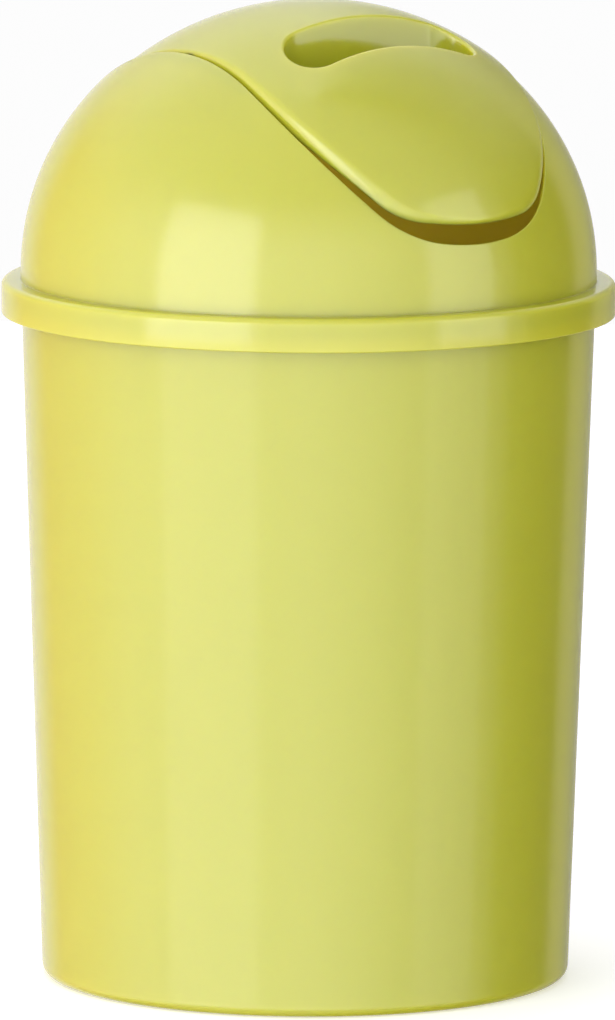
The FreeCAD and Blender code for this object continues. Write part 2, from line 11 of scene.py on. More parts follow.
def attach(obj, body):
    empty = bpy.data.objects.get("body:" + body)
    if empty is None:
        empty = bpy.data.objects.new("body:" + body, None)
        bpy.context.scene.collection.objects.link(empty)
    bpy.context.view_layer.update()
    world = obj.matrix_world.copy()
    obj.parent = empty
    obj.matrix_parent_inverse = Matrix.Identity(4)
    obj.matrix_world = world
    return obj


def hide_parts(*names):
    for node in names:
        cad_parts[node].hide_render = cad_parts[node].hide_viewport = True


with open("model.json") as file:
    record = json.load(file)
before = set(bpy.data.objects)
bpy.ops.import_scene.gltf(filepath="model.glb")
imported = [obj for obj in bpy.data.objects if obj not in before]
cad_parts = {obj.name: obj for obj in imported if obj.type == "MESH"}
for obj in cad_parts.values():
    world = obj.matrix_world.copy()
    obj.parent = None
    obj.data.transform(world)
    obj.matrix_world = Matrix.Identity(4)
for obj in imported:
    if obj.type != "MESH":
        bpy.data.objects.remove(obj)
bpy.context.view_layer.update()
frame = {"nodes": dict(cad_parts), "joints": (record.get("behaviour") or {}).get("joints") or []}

bl_info = {
    "name": "Swing-Top Bin",
    "version": (1, 0, 0),
    "blender": (4, 5, 0),
    "location": "View3D > Sidebar > Swing Bin",
    "description": "Builds a round waste bin with a domed lid and a swinging flap, and a studio round it",
    "category": "Add Mesh",
}

ACROSS, BACK, UP = Vector((1, 0, 0)), Vector((0, 1, 0)), Vector((0, 0, 1))

# Fineness of the meshes, apart from the steps round a piece.
MEET_ROUNDS = 20
MERGE_DISTANCE = 1e-7
SHARP_ANGLE = math.radians(40)
RIM_ARC_STEPS, EDGE_ARC_STEPS, SMALL_ARC_STEPS = 6, 8, 4
LID_OUTSIDE_STEPS, LID_INSIDE_STEPS = 56, 28
FLAP_OUTSIDE_STEPS, FLAP_INSIDE_STEPS = 48, 24
FLANGE_STEPS, EAR_STEPS, EAR_BEVEL_STEPS, FLOOR_STEPS = 32, 64, 2, 128

# Small measures that keep the faces of one moulding out of each other: the flanges' gap to the dome, the least
# height of the flap's skirt outside and inside, the ears' share of the wall, and the rounding of the ears' rims.
FLANGE_GAP = 0.00004
LEAST_SKIRT, LEAST_HEM = 0.0003, 0.0001
EAR_SHARE, EAR_ROUNDING = 0.96, 0.0003

# The plastic: its optics, and the scale and detail of the noise in its colour, its polish and its ripple.
PLASTIC_IOR, PLASTIC_SHINE = 1.55, 0.97
GLOW_SPREAD = (1.0, 0.8, 0.6)
CLOUD_NOISE, POLISH_NOISE, RIPPLE_NOISE = (14, 3), (38, 5), (420, 2)
POLISH_FROM, POLISH_TO = 0.35, 0.75
RIPPLE_STRENGTH, RIPPLE_HEIGHT = 0.05, 0.00008


# Settings


def length(name, description, default):
    """A length in metres that a user can change."""
    return FloatProperty(name=name, description=description, default=default, precision=4,
                         subtype="DISTANCE", unit="LENGTH")


def turn(name, description, degrees):
    """An angle that a user can change."""
    return FloatProperty(name=name, description=description, default=math.radians(degrees),
                         subtype="ANGLE", unit="ROTATION")


def colour(name, description, default):
    """A colour that a user can change."""
    return FloatVectorProperty(name=name, description=description, default=default, size=len(default),
                               min=0, max=1, subtype="COLOR")


def share(name, description, default):
    """A share from none to all."""
    return FloatProperty(name=name, description=description, default=default, min=0, max=1, subtype="FACTOR")


class BinSizes(PropertyGroup):
    """Sizes of the tapered body."""

    height: length("Height", "Top of the lip", 0.284)
    foot_radius: length("Foot Radius", "Outside of the wall at the foot", 0.1075)
    mouth_radius: length("Mouth Radius", "Outside of the wall at the lip", 0.117)
    wall: length("Wall", "Thickness of the wall", 0.002)
    floor: length("Floor", "Thickness of the floor", 0.0024)
    ring_width: length("Foot Ring Width", "Flat ring that the bin stands on", 0.010)
    ring_height: length("Foot Ring Height", "Rise of the floor inside the foot ring", 0.0025)
    foot_rounding: length("Foot Rounding", "Rounding of the foot's outer edge", 0.0045)
    lip_radius: length("Lip Radius", "Outside of the turned-over lip", 0.1224)
    lip_wall: length("Lip Wall", "Wall of the lip's skirt", 0.0018)
    lip_depth: length("Lip Depth", "Height of the lip's skirt", 0.007)
    lip_rounding: length("Lip Rounding", "Rounding of the lip's edges", 0.0007)


class DomeSizes(PropertyGroup):
    """Sizes of the dome that the lid and the flap share."""

    base: length("Base", "Height of the dome's foot above the ground", 0.286)
    foot_radius: length("Foot Radius", "Outside of the dome at its foot", 0.1172)
    foot_height: length("Foot Height", "Upright part of the foot", 0.0036)
    height: length("Height", "Top of the dome above its foot", 0.1147)
    shoulder_turn: turn("Shoulder Turn", "Turn of the side before the crown takes over", 49.3)
    cut_angle: turn("Cut Angle", "Slope of the cuts between lid and flap", 40.0)


class LidSizes(PropertyGroup):
    """Sizes of the lid."""

    wall: length("Wall", "Wall of the dome", 0.0022)
    band_radius: length("Band Radius", "Outside of the rim band", 0.125)
    band_height: length("Band Height", "Height of the rim band", 0.0135)
    band_wall: length("Band Wall", "Wall of the rim band", 0.002)
    band_top: length("Band Top", "Plate between the rim band and the dome", 0.002)
    band_rounding: length("Band Rounding", "Rounding of the rim band's top edge", 0.0025)
    ring_radius: length("Ring Radius", "Outside of the locating ring", 0.11438)
    ring_wall: length("Ring Wall", "Wall of the locating ring", 0.002)
    ring_depth: length("Ring Depth", "Reach of the locating ring into the mouth", 0.008)
    half_width: length("Opening Half Width", "From the middle to the opening's straight side", 0.0636)
    end_radius: length("Opening End Radius", "Middle arc of the opening's ends", 0.073)
    end_turn: turn("Opening End Turn", "Turn of that arc to either side", 12.0)
    corner_radius: length("Opening Corner Radius", "Corner arcs of the opening's ends", 0.0425)
    side_radius: length("Opening Side Radius", "Arcs from the corners to the straight sides", 0.122)
    sill_height: length("Sill Height", "Lowest point of the opening above the dome's foot", 0.0269)
    edge_rounding: length("Edge Rounding", "Rounding of the opening's edge", 0.0004)
    rim_rounding: length("Rim Rounding", "Rounding of the small edges of the rim", 0.0006)
    flange_half_length: length("Flange Half Length", "Side flanges, from the middle to either end", 0.044)
    flange_drop: length("Flange Drop", "Lower edge of the flanges under the hinge", 0.009)
    bore_radius: length("Bore Radius", "Holes for the hinge pins", 0.00308)


class FlapSizes(PropertyGroup):
    """Sizes of the swinging flap."""

    wall: length("Wall", "Wall of the flap", 0.002)
    side_clearance: length("Side Clearance", "Between the flap and the opening's sides", 0.0013)
    end_clearance: length("End Clearance", "Between the shut flap and the sill", 0.0038)
    end_radius: length("End Radius", "Middle arc of the flap's ends", 0.079)
    end_turn: turn("End Turn", "Turn of that arc to either side", 18.0)
    corner_radius: length("Corner Radius", "Corner arcs of the flap's ends", 0.030)
    skirt_depth: length("Skirt Depth", "Skirt along the sides, over the hinge", 0.010)
    top_rounding: length("Top Rounding", "Edge over the hinge", 0.0015)
    corner_rounding: length("Corner Rounding", "Edge at the corners of the ends", 0.006)
    end_rounding: length("End Rounding", "Edge in the middle of the ends", 0.0015)
    pocket_length: length("Pocket Length", "Finger pocket along the hinge", 0.088)
    pocket_width: length("Pocket Width", "Finger pocket from front to back", 0.024)
    pocket_forward: length("Pocket Forward", "Middle of the pocket in front of the axis", 0.0474)
    pocket_drop: length("Pocket Drop", "Floor of the pocket under the top of the dome", 0.032)
    pocket_wall: length("Pocket Wall", "Wall and floor of the pocket", 0.0018)
    pocket_rounding: length("Pocket Rounding", "Rounding of the pocket's lip", 0.0013)
    floor_rounding: length("Pocket Floor Rounding", "Rounding of the pocket's floor", 0.001)
    ear_radius: length("Ear Radius", "Ears round the hinge pins", 0.0086)
    rest_tilt: turn("Rest Tilt", "Lean at rest, front end up", 2.7)


class PlasticFinish(PropertyGroup):
    """Colour and gloss of the moulded plastic."""

    light: colour("Light", "Lighter shade of the plastic", (0.505, 0.497, 0.0385))
    deep: colour("Deep", "Deeper shade of the plastic", (0.478, 0.471, 0.0340))
    pin: colour("Pins", "Shade of the hinge pins", (0.45, 0.43, 0.030))
    gloss_rough: share("Roughness", "Roughness of the polished faces", 0.13)
    dull_rough: share("Dull Roughness", "Roughness where the polish is weaker", 0.20)
    glow: share("Glow", "How much light passes through the wall", 1.0)
    glow_reach: length("Glow Reach", "How far light passes inside the wall", 0.0105)


class StudioSettings(PropertyGroup):
    """Camera and floor of the studio."""

    camera_place: FloatVectorProperty(name="Camera Place", description="Where the camera stands",
                                      default=(-3.4316, -4.7232, 1.0529), subtype="TRANSLATION", unit="LENGTH")
    aim_height: length("Aim Height", "Height that the camera points at", 0.191)
    lens: FloatProperty(name="Lens", description="Focal length in millimetres", default=510.8)
    roll: turn("Roll", "Lean of the camera", 0.296)
    floor_radius: length("Floor Radius", "Radius of the pale floor", 2.0)
    floor: colour("Floor", "Shade of the floor", (0.88, 0.89, 0.92))
    floor_glow: share("Floor Glow", "Light that the floor gives by itself", 0.35)
    floor_gap: length("Floor Gap", "Air between the foot and the floor", 0.0003)


class SwingBinSettings(PropertyGroup):
    """All sizes and finishes of the swing-top bin."""

    bin: PointerProperty(type=BinSizes)
    dome: PointerProperty(type=DomeSizes)
    lid: PointerProperty(type=LidSizes)
    flap: PointerProperty(type=FlapSizes)
    finish: PointerProperty(type=PlasticFinish)
    studio: PointerProperty(type=StudioSettings)
    steps: IntProperty(name="Steps", description="Steps round each quarter of a piece", default=120, min=16, max=200)


# Forms that the pieces share


class Dome:
    """Upright foot, shoulder arc and crown arc, turned round an axis that may stand off to the back."""

    def __init__(self, sizes, shift=0.0):
        self.turn = sizes.shoulder_turn
        crown_share = (1 - math.sin(self.turn)) / math.cos(self.turn)
        shoulder_share = math.sin(self.turn) - crown_share * (1 - math.cos(self.turn))
        rise = sizes.height - sizes.foot_height
        self.foot = sizes.foot_radius
        self.shoulder = (rise - self.foot * crown_share) / shoulder_share
        self.crown = (self.foot - self.shoulder * (1 - math.cos(self.turn))) / math.cos(self.turn)
        self.base, self.start = sizes.base, sizes.base + sizes.foot_height
        self.top = sizes.base + sizes.height
        self.ring = self.foot - self.shoulder
        self.middle = Vector((0, shift, self.top - self.crown))
        self.shift = shift

    def side(self, point):
        """Outward direction of the dome at a point, and the point's height over its outside."""
        level = Vector((point.x, point.y - self.shift, 0))
        across, up = level.length - self.ring, point.z - self.start
        level.normalize()
        if up <= 0:
            return level, across - self.shoulder
        if math.atan2(up, across) > self.turn:
            radial = point - self.middle
            return radial.normalized(), radial.length - self.crown
        reach = math.hypot(across, up)
        return (level * across + UP * up) / reach, reach - self.shoulder

    def meet(self, point, along, inset=0.0):
        """The point slid along a direction until it lies a depth under the dome's outside."""
        for _ in range(MEET_ROUNDS):
            outwards, height = self.side(point)
            point = point - along * ((height + inset) / outwards.dot(along))
        return point

    def over(self, x, y, inset=0.0):
        """The point of the dome above a place, a depth under its outside."""
        reach = math.hypot(x, y)
        if reach < self.ring + (self.shoulder - inset) * math.cos(self.turn):
            return Vector((x, y, self.middle.z + math.sqrt((self.crown - inset) ** 2 - reach ** 2)))
        across = min(reach - self.ring, self.shoulder - inset)
        return Vector((x, y, self.start + math.sqrt((self.shoulder - inset) ** 2 - across ** 2)))

    def path(self, point, inset=0.0):
        """How far up its section a point of the dome lies, from the foot."""
        across, up = math.hypot(point.x, point.y) - self.ring, point.z - self.start
        if up <= 0:
            return point.z - self.base
        foot, side = self.start - self.base, self.shoulder - inset
        angle = math.atan2(up, across)
        if angle <= self.turn:
            return foot + side * angle
        angle = math.atan2(point.z - self.middle.z, math.hypot(point.x, point.y))
        return foot + side * self.turn + (self.crown - inset) * (angle - self.turn)

    def along(self, path, inset=0.0):
        """Reach and height of the section a given way up from the foot."""
        foot, side, crown = self.start - self.base, self.shoulder - inset, self.crown - inset
        if path <= foot:
            return self.foot - inset, self.base + path
        angle = (path - foot) / side
        if angle <= self.turn:
            return self.ring + side * math.cos(angle), self.start + side * math.sin(angle)
        angle = self.turn + (path - foot - side * self.turn) / crown
        return crown * math.cos(angle), self.middle.z + crown * math.sin(angle)


class Spoke:
    """A point of a loop on the dome, with the way out of the loop and the way along its side face."""

    def __init__(self, edge, outwards, along):
        self.edge, self.outwards, self.along = edge, outwards, along

    def flipped(self, across, back):
        """This spoke mirrored to the left or to the back."""
        signs = Vector((across, back, 1))
        return Spoke(self.edge * signs, self.outwards * signs, self.along * signs)


def loop_spokes(dome, cut_angle, half, radii, end_turn, low, steps):
    """Spokes round a loop of three arcs and a straight side in each quarter, cut along the slope."""
    end, corner, side = radii
    corner_share = (side - half + (end - corner) * math.sin(end_turn)) / (side - corner)
    turns = (0.0, end_turn, math.asin(corner_share), math.pi / 2)
    slope = BACK * math.sin(cut_angle) + UP * math.cos(cut_angle)
    along = UP * math.sin(cut_angle) - BACK * math.cos(cut_angle)
    arcs, middle = [], UP * dome.base + slope * (low + end)
    for number, radius in enumerate(radii):
        arcs.append((middle, radius, turns[number], turns[number + 1]))
        if number + 1 < len(radii):
            way = ACROSS * math.sin(turns[number + 1]) - slope * math.cos(turns[number + 1])
            middle = middle + way * (radius - radii[number + 1])
    lengths = [radius * (stop - start) for _, radius, start, stop in arcs]

    def on_arc(distance):
        for (centre, radius, start, stop), span in zip(arcs, lengths):
            if distance <= span or radius == side:
                angle = min(start + distance / radius, stop)
                way = ACROSS * math.sin(angle) - slope * math.cos(angle)
                point = centre + way * radius
                return Spoke(dome.meet(point + along * dome.foot, along), way, along)
            distance -= span

    last = on_arc(sum(lengths)).edge
    straight = -last.y
    curved = round(steps * sum(lengths) / (sum(lengths) + straight))
    quarter = [on_arc(sum(lengths) * number / curved) for number in range(curved + 1)]
    for number in range(1, steps - curved + 1):
        part = number / (steps - curved)
        edge = dome.over(half, last.y * (1 - part))
        quarter.append(Spoke(edge, ACROSS.copy(), along.lerp(UP, part).normalized()))
    right = quarter + [spoke.flipped(1, -1) for spoke in reversed(quarter[:-1])]
    return right + [spoke.flipped(-1, 1) for spoke in reversed(right[1:-1])]


def hinge_place():
    """Where the hinge axis crosses the middle plane."""
    swing = next(joint for joint in frame["joints"] if joint["name"] == "flap_swing")
    return Vector(swing["pos_m"])


def opening_low(settings, dome):
    """Lowest point of the opening, seen along the cut."""
    cut = settings.dome.cut_angle
    rise = settings.lid.sill_height - settings.dome.foot_height
    reach = dome.ring + math.sqrt(dome.shoulder ** 2 - rise ** 2)
    return settings.lid.sill_height * math.cos(cut) - reach * math.sin(cut)


def opening_spokes(settings, dome):
    """Spokes round the lid's opening."""
    lid = settings.lid
    return loop_spokes(dome, settings.dome.cut_angle, lid.half_width,
                       (lid.end_radius, lid.corner_radius, lid.side_radius), lid.end_turn,
                       opening_low(settings, dome), settings.steps)


def arc_between(middle, radius, first, last, steps):
    """Points on an arc about a point, from one direction to another."""
    angle = first.angle(last)
    points = []
    for number in range(steps + 1):
        part = number / steps
        way = first * math.sin((1 - part) * angle) + last * math.sin(part * angle)
        points.append(middle + way * (radius / math.sin(angle)))
    return points


def rounded_chain(corners, steps):
    """Points of a section through corners given as reach, height and rounding; its ends stay sharp."""
    spots = [Vector((reach, 0, height)) for reach, height, _ in corners]
    chain = [spots[0]]
    for before, here, after, corner in zip(spots, spots[1:], spots[2:], corners[1:]):
        rounding = corner[2]
        if not rounding:
            chain.append(here)
            continue
        first, last = (before - here).normalized(), (after - here).normalized()
        half = first.angle(last) / 2
        middle = here + (first + last).normalized() * (rounding / math.sin(half))
        start, stop = here + first * (rounding / math.tan(half)), here + last * (rounding / math.tan(half))
        chain += arc_between(middle, rounding, (start - middle).normalized(), (stop - middle).normalized(), steps)
    return chain + [spots[-1]]


def turned(point, angle):
    """A point of a section, turned about the upright axis."""
    return Vector((point.x * math.cos(angle), point.x * math.sin(angle), point.z))


def skin_sections(sections):
    """A mesh made from a grid that is bent to the sections, joined where its ends meet and filled at its open ends."""
    bm = bmesh.new()
    around, rows = len(sections), len(sections[0])
    bmesh.ops.create_grid(bm, x_segments=around, y_segments=rows - 1, size=1)
    for vert in bm.verts:
        section = sections[round((vert.co.x + 1) / 2 * around) % around]
        vert.co = section[round((vert.co.y + 1) / 2 * (rows - 1))]
    bmesh.ops.remove_doubles(bm, verts=bm.verts, dist=MERGE_DISTANCE)
    ends = [edge for edge in bm.edges if edge.is_boundary]
    floors = bmesh.ops.holes_fill(bm, edges=ends, sides=len(ends))["faces"]
    bmesh.ops.triangulate(bm, faces=floors, quad_method="BEAUTY", ngon_method="BEAUTY")
    bmesh.ops.recalc_face_normals(bm, faces=bm.faces)
    return bm


def add_piece(bm, name, body, node, material):
    """Makes the finished mesh a piece that rides on a body and stands for a node."""
    mesh = bpy.data.meshes.new(name)
    bm.to_mesh(mesh)
    bm.free()
    mesh.shade_smooth()
    mesh.set_sharp_from_angle(angle=SHARP_ANGLE)
    mesh.materials.append(material)
    piece = bpy.data.objects.new(name, mesh)
    bpy.context.scene.collection.objects.link(piece)
    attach(piece, body)
    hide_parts(node)


# Finishes


def moulded_plastic(name, light, deep, finish):
    """Glossy moulded plastic: slight clouding, uneven polish and a fine ripple, with light passing into the wall."""
    material = bpy.data.materials.new(name)
    material.use_nodes = True
    nodes, links = material.node_tree.nodes, material.node_tree.links
    shader = nodes["Principled BSDF"]
    shader.inputs["IOR"].default_value = PLASTIC_IOR
    shader.inputs["Specular IOR Level"].default_value = PLASTIC_SHINE
    shader.inputs["Subsurface Weight"].default_value = finish.glow
    shader.inputs["Subsurface Radius"].default_value = GLOW_SPREAD
    shader.inputs["Subsurface Scale"].default_value = finish.glow_reach
    place = nodes.new("ShaderNodeTexCoord")

    def noise(scale, detail):
        node = nodes.new("ShaderNodeTexNoise")
        node.inputs["Scale"].default_value = scale
        node.inputs["Detail"].default_value = detail
        links.new(place.outputs["Object"], node.inputs["Vector"])
        return node.outputs["Fac"]

    clouds = nodes.new("ShaderNodeMix")
    clouds.data_type = "RGBA"
    clouds.inputs["A"].default_value = (*deep, 1)
    clouds.inputs["B"].default_value = (*light, 1)
    links.new(noise(*CLOUD_NOISE), clouds.inputs["Factor"])
    links.new(clouds.outputs["Result"], shader.inputs["Base Color"])
    polish = nodes.new("ShaderNodeMapRange")
    polish.inputs["From Min"].default_value = POLISH_FROM
    polish.inputs["From Max"].default_value = POLISH_TO
    polish.inputs["To Min"].default_value = finish.gloss_rough
    polish.inputs["To Max"].default_value = finish.dull_rough
    links.new(noise(*POLISH_NOISE), polish.inputs["Value"])
    links.new(polish.outputs["Result"], shader.inputs["Roughness"])
    ripple = nodes.new("ShaderNodeBump")
    ripple.inputs["Strength"].default_value = RIPPLE_STRENGTH
    ripple.inputs["Distance"].default_value = RIPPLE_HEIGHT
    links.new(noise(*RIPPLE_NOISE), ripple.inputs["Height"])
    links.new(ripple.outputs["Normal"], shader.inputs["Normal"])
    return material


def bin_plastic(settings):
    """The plastic of the bin, the lid and the flap, made once."""
    made = bpy.data.materials.get("lime_plastic")
    finish = settings.finish
    return made or moulded_plastic("lime_plastic", finish.light, finish.deep, finish)


# Pieces


class SWINGBIN_OT_make_bin(Operator):
    """Make the tapered body with its foot ring and turned-over lip"""

    bl_idname = "swingbin.make_bin"
    bl_label = "Make Bin"

    def execute(self, context):
        settings = context.scene.swing_bin
        sizes = settings.bin
        taper = (sizes.mouth_radius - sizes.foot_radius) / sizes.height
        recess = sizes.foot_radius - sizes.ring_width
        inner_foot = sizes.foot_radius + taper * sizes.floor - sizes.wall
        under_lip = sizes.height - sizes.lip_wall
        soft = sizes.lip_rounding
        section = rounded_chain((
            (0, sizes.ring_height, 0),
            (recess - sizes.ring_height, sizes.ring_height, soft),
            (recess, 0, soft),
            (sizes.foot_radius, 0, sizes.foot_rounding),
            (sizes.mouth_radius - taper * sizes.lip_wall, under_lip, soft),
            (sizes.lip_radius - sizes.lip_wall, under_lip, soft),
            (sizes.lip_radius - sizes.lip_wall, sizes.height - sizes.lip_depth, soft),
            (sizes.lip_radius, sizes.height - sizes.lip_depth, soft),
            (sizes.lip_radius, sizes.height, soft),
            (sizes.mouth_radius - sizes.wall, sizes.height, soft),
            (inner_foot, sizes.floor, sizes.foot_rounding - sizes.wall),
            (recess, sizes.floor, soft),
            (recess - sizes.ring_height, sizes.ring_height + sizes.floor, soft),
            (0, sizes.ring_height + sizes.floor, 0),
        ), RIM_ARC_STEPS)
        bm = bmesh.new()
        chain = [bm.verts.new(point) for point in section]
        edges = [bm.edges.new(pair) for pair in zip(chain, chain[1:])]
        bmesh.ops.spin(bm, geom=chain + edges, cent=(0, 0, 0), axis=UP, angle=2 * math.pi,
                       steps=2 * settings.steps, use_merge=True)
        bmesh.ops.remove_doubles(bm, verts=bm.verts, dist=MERGE_DISTANCE)
        bmesh.ops.recalc_face_normals(bm, faces=bm.faces)
        add_piece(bm, "bin_shell", "bin", "bin_body", bin_plastic(settings))
        return {"FINISHED"}


class SWINGBIN_OT_make_lid(Operator):
    """Make the lid: rim band, dome with its long opening, and the hinge flanges inside"""

    bl_idname = "swingbin.make_lid"
    bl_label = "Make Lid"

    def execute(self, context):
        settings = context.scene.swing_bin
        lid, dome = settings.lid, Dome(settings.dome)
        base, foot, soft = dome.base, dome.foot, lid.rim_rounding
        plate, band_low = base - lid.band_top, base - lid.band_height
        ring_low = plate - lid.ring_depth
        ring_in, band_in = lid.ring_radius - lid.ring_wall, lid.band_radius - lid.band_wall
        rim = rounded_chain((
            (foot - lid.wall, base + soft, 0),
            (foot - lid.wall, base, soft / 2),
            (ring_in, base, soft),
            (ring_in, ring_low, soft),
            (lid.ring_radius, ring_low, soft),
            (lid.ring_radius, plate, soft / 2),
            (band_in, plate, soft),
            (band_in, band_low, soft),
            (lid.band_radius, band_low, soft),
            (lid.band_radius, base, lid.band_rounding),
            (foot, base, soft / 2),
            (foot, base + soft, 0),
        ), RIM_ARC_STEPS)
        spokes = opening_spokes(settings, dome)
        bm = skin_sections([self.section(spoke, dome, lid, rim) for spoke in spokes])
        for sign in (1, -1):
            self.add_flange(bm, dome, settings, sign)
        add_piece(bm, "lid_shell", "lid", "dome_lid", bin_plastic(settings))
        return {"FINISHED"}

    def section(self, spoke, dome, lid, rim):
        """Section through the lid at a spoke: inside down, round the rim, outside up and over the edge."""
        start_angle = math.atan2(spoke.edge.y, spoke.edge.x)
        middle = dome.meet(spoke.edge + spoke.outwards * lid.edge_rounding, spoke.along, lid.edge_rounding)
        lip = arc_between(middle, lid.edge_rounding, dome.side(middle)[0], -spoke.outwards, SMALL_ARC_STEPS)
        inner = dome.meet(spoke.edge, spoke.along, lid.wall)
        points = self.climb(dome, inner, start_angle, lid.wall, lid.rim_rounding, LID_INSIDE_STEPS)[::-1]
        points += [turned(point, start_angle) for point in rim[1:-1]]
        points += self.climb(dome, lip[0], start_angle, 0.0, lid.rim_rounding, LID_OUTSIDE_STEPS)
        return points + lip[1:] + points[:1]

    def climb(self, dome, top, angle, inset, start, steps):
        """Points up the dome from a start just above its foot to a point of the opening's edge."""
        end, top_angle = dome.path(top, inset), math.atan2(top.y, top.x)
        swing = (top_angle - angle + math.pi) % (2 * math.pi) - math.pi
        points = []
        for number in range(steps):
            part = number / steps
            reach, height = dome.along(start + (end - start) * part, inset)
            points.append(turned(Vector((reach, 0, height)), angle + swing * part))
        return points + [top]

    def add_flange(self, bm, dome, settings, sign):
        """Adds the plate inside the dome that a hinge pin runs in."""
        lid, pivot = settings.lid, hinge_place()
        face, under = lid.half_width + FLANGE_GAP, lid.wall + FLANGE_GAP
        low, end = pivot.z - lid.flange_drop, lid.flange_half_length
        stations = [-end + 2 * end * number / FLANGE_STEPS for number in range(FLANGE_STEPS + 1)]
        outline = [Vector((face, station, low)) for station in stations]
        outline += [dome.over(face, station, under) for station in reversed(stations)]
        verts = [bm.verts.new(point) for point in outline]
        edges = [bm.edges.new(pair) for pair in zip(verts, verts[1:] + verts[:1])]
        ring = bmesh.ops.create_circle(bm, segments=len(verts), radius=lid.bore_radius,
                                       matrix=Matrix.Translation((face, pivot.y, pivot.z))
                                       @ Matrix.Rotation(math.pi / 2, 4, "Y"))["verts"]
        edges += list({edge for vert in ring for edge in vert.link_edges})
        faces = bmesh.ops.bridge_loops(bm, edges=edges)["faces"]
        grown = bmesh.ops.extrude_face_region(bm, geom=faces)["geom"]
        outer = [item for item in grown if isinstance(item, bmesh.types.BMVert)]
        bmesh.ops.translate(bm, verts=outer, vec=ACROSS * lid.wall)
        plate = verts + ring + outer
        if sign < 0:
            bmesh.ops.scale(bm, vec=(-1, 1, 1), verts=plate)
        bmesh.ops.recalc_face_normals(bm, faces=list({face for vert in plate for face in vert.link_faces}))


class SWINGBIN_OT_make_flap(Operator):
    """Make the swinging flap with its finger pocket, skirt and ears"""

    bl_idname = "swingbin.make_flap"
    bl_label = "Make Flap"

    def execute(self, context):
        settings = context.scene.swing_bin
        flap, dome = settings.flap, Dome(settings.dome)
        half = settings.lid.half_width - flap.side_clearance
        side = settings.lid.side_radius - flap.side_clearance
        low = opening_low(settings, dome) + flap.end_clearance
        spokes = loop_spokes(dome, settings.dome.cut_angle, half, (flap.end_radius, flap.corner_radius, side),
                             flap.end_turn, low, settings.steps)
        spread = (flap.end_radius - flap.corner_radius) * math.sin(flap.end_turn)
        corner = spread + flap.corner_radius * (side - half + spread) / (side - flap.corner_radius)
        ahead = max(abs(spoke.edge.y) for spoke in spokes if abs(spoke.edge.x) > corner)
        shift = flap.skirt_depth - flap.wall
        cores = {sign: Dome(settings.dome, sign * shift) for sign in (1, -1)}
        sections = []
        for spoke in spokes:
            rounding = self.rounding(spoke.edge, flap, corner, ahead)
            core = cores[1 if spoke.edge.y > 0 else -1]
            sections.append(self.section(spoke, dome, core, flap, rounding))
        bm = skin_sections(sections)
        pivot = hinge_place()
        for sign in (1, -1):
            self.add_ear(bm, flap, sign * half, pivot)
        bmesh.ops.rotate(bm, verts=bm.verts, cent=pivot, matrix=Matrix.Rotation(-flap.rest_tilt, 3, "X"))
        add_piece(bm, "flap_shell", "flap", "swing_flap", bin_plastic(settings))
        return {"FINISHED"}

    def rounding(self, edge, flap, corner, ahead):
        """Radius of the flap's edge at a point, largest at the corners of its ends."""
        if abs(edge.x) < corner:
            return flap.end_rounding + (flap.corner_rounding - flap.end_rounding) * abs(edge.x) / corner
        return flap.top_rounding + (flap.corner_rounding - flap.top_rounding) * abs(edge.y) / ahead

    def pocket_side(self, edge, flap):
        """Point of the pocket's outline towards an edge point, and the way out of the pocket there."""
        centre = Vector((0, -flap.pocket_forward, 0))
        way = Vector((edge.x, edge.y + flap.pocket_forward, 0)).normalized()
        radius, straight = flap.pocket_width / 2, (flap.pocket_length - flap.pocket_width) / 2
        if abs(way.x) * radius <= straight * abs(way.y):
            point = way * (radius / abs(way.y))
        else:
            ahead = straight * abs(way.x)
            point = way * (ahead + math.sqrt(ahead ** 2 - straight ** 2 + radius ** 2))
        middle = Vector((max(-straight, min(straight, point.x)), 0, 0))
        return centre + point, (point - middle).normalized()

    def section(self, spoke, dome, core, flap, rounding):
        """Section from the pocket's floor over the flap's skin and skirt, and back underneath."""
        place, way = self.pocket_side(spoke.edge, flap)
        floor = UP * (dome.top - flap.pocket_drop)
        soft, lip = flap.floor_rounding, flap.pocket_rounding
        points = arc_between(place - way * soft + floor + UP * soft, soft, -UP, way, SMALL_ARC_STEPS)
        lip_middle = dome.over(*(place + way * lip).xy, lip)
        lip_arc = arc_between(lip_middle, lip, -way, dome.side(lip_middle)[0], EDGE_ARC_STEPS)
        points += [points[-1].lerp(lip_arc[0], part) for part in (0.25, 0.5, 0.75)] + lip_arc
        edge_middle = dome.meet(spoke.edge - spoke.outwards * rounding, spoke.along, rounding)
        edge_arc = arc_between(edge_middle, rounding, dome.side(edge_middle)[0], spoke.outwards, EDGE_ARC_STEPS)
        points += self.between(dome, lip_arc[-1], edge_arc[0], 0.0, FLAP_OUTSIDE_STEPS) + edge_arc
        skirt = core.meet(edge_arc[-1], spoke.along, flap.skirt_depth)
        skirt = self.lower(skirt, edge_arc[-1], spoke.along, LEAST_SKIRT)
        inside = spoke.edge - spoke.outwards * flap.wall
        under = dome.meet(inside, spoke.along, flap.wall)
        hem = self.lower(core.meet(inside, spoke.along, flap.skirt_depth), under, spoke.along, LEAST_HEM)
        points += [edge_arc[-1].lerp(skirt, 0.5), skirt, hem, hem.lerp(under, 0.5), under]
        tub = place + way * flap.pocket_wall
        tub_top = dome.over(*tub.xy, flap.wall)
        tub_foot = tub + floor - UP * flap.pocket_wall
        points += self.between(dome, under, tub_top, flap.wall, FLAP_INSIDE_STEPS)
        return points + [tub_top, tub_top.lerp(tub_foot, 0.5), tub_foot]

    def between(self, dome, first, last, inset, steps):
        """Points on the dome between two of its points, without them."""
        spots = [first.lerp(last, number / steps) for number in range(1, steps)]
        return [dome.over(spot.x, spot.y, inset) for spot in spots]

    def lower(self, point, limit, along, least):
        """The point, or one just below a limit if it lies above that."""
        return point if (limit - point).dot(along) > least else limit - along * least

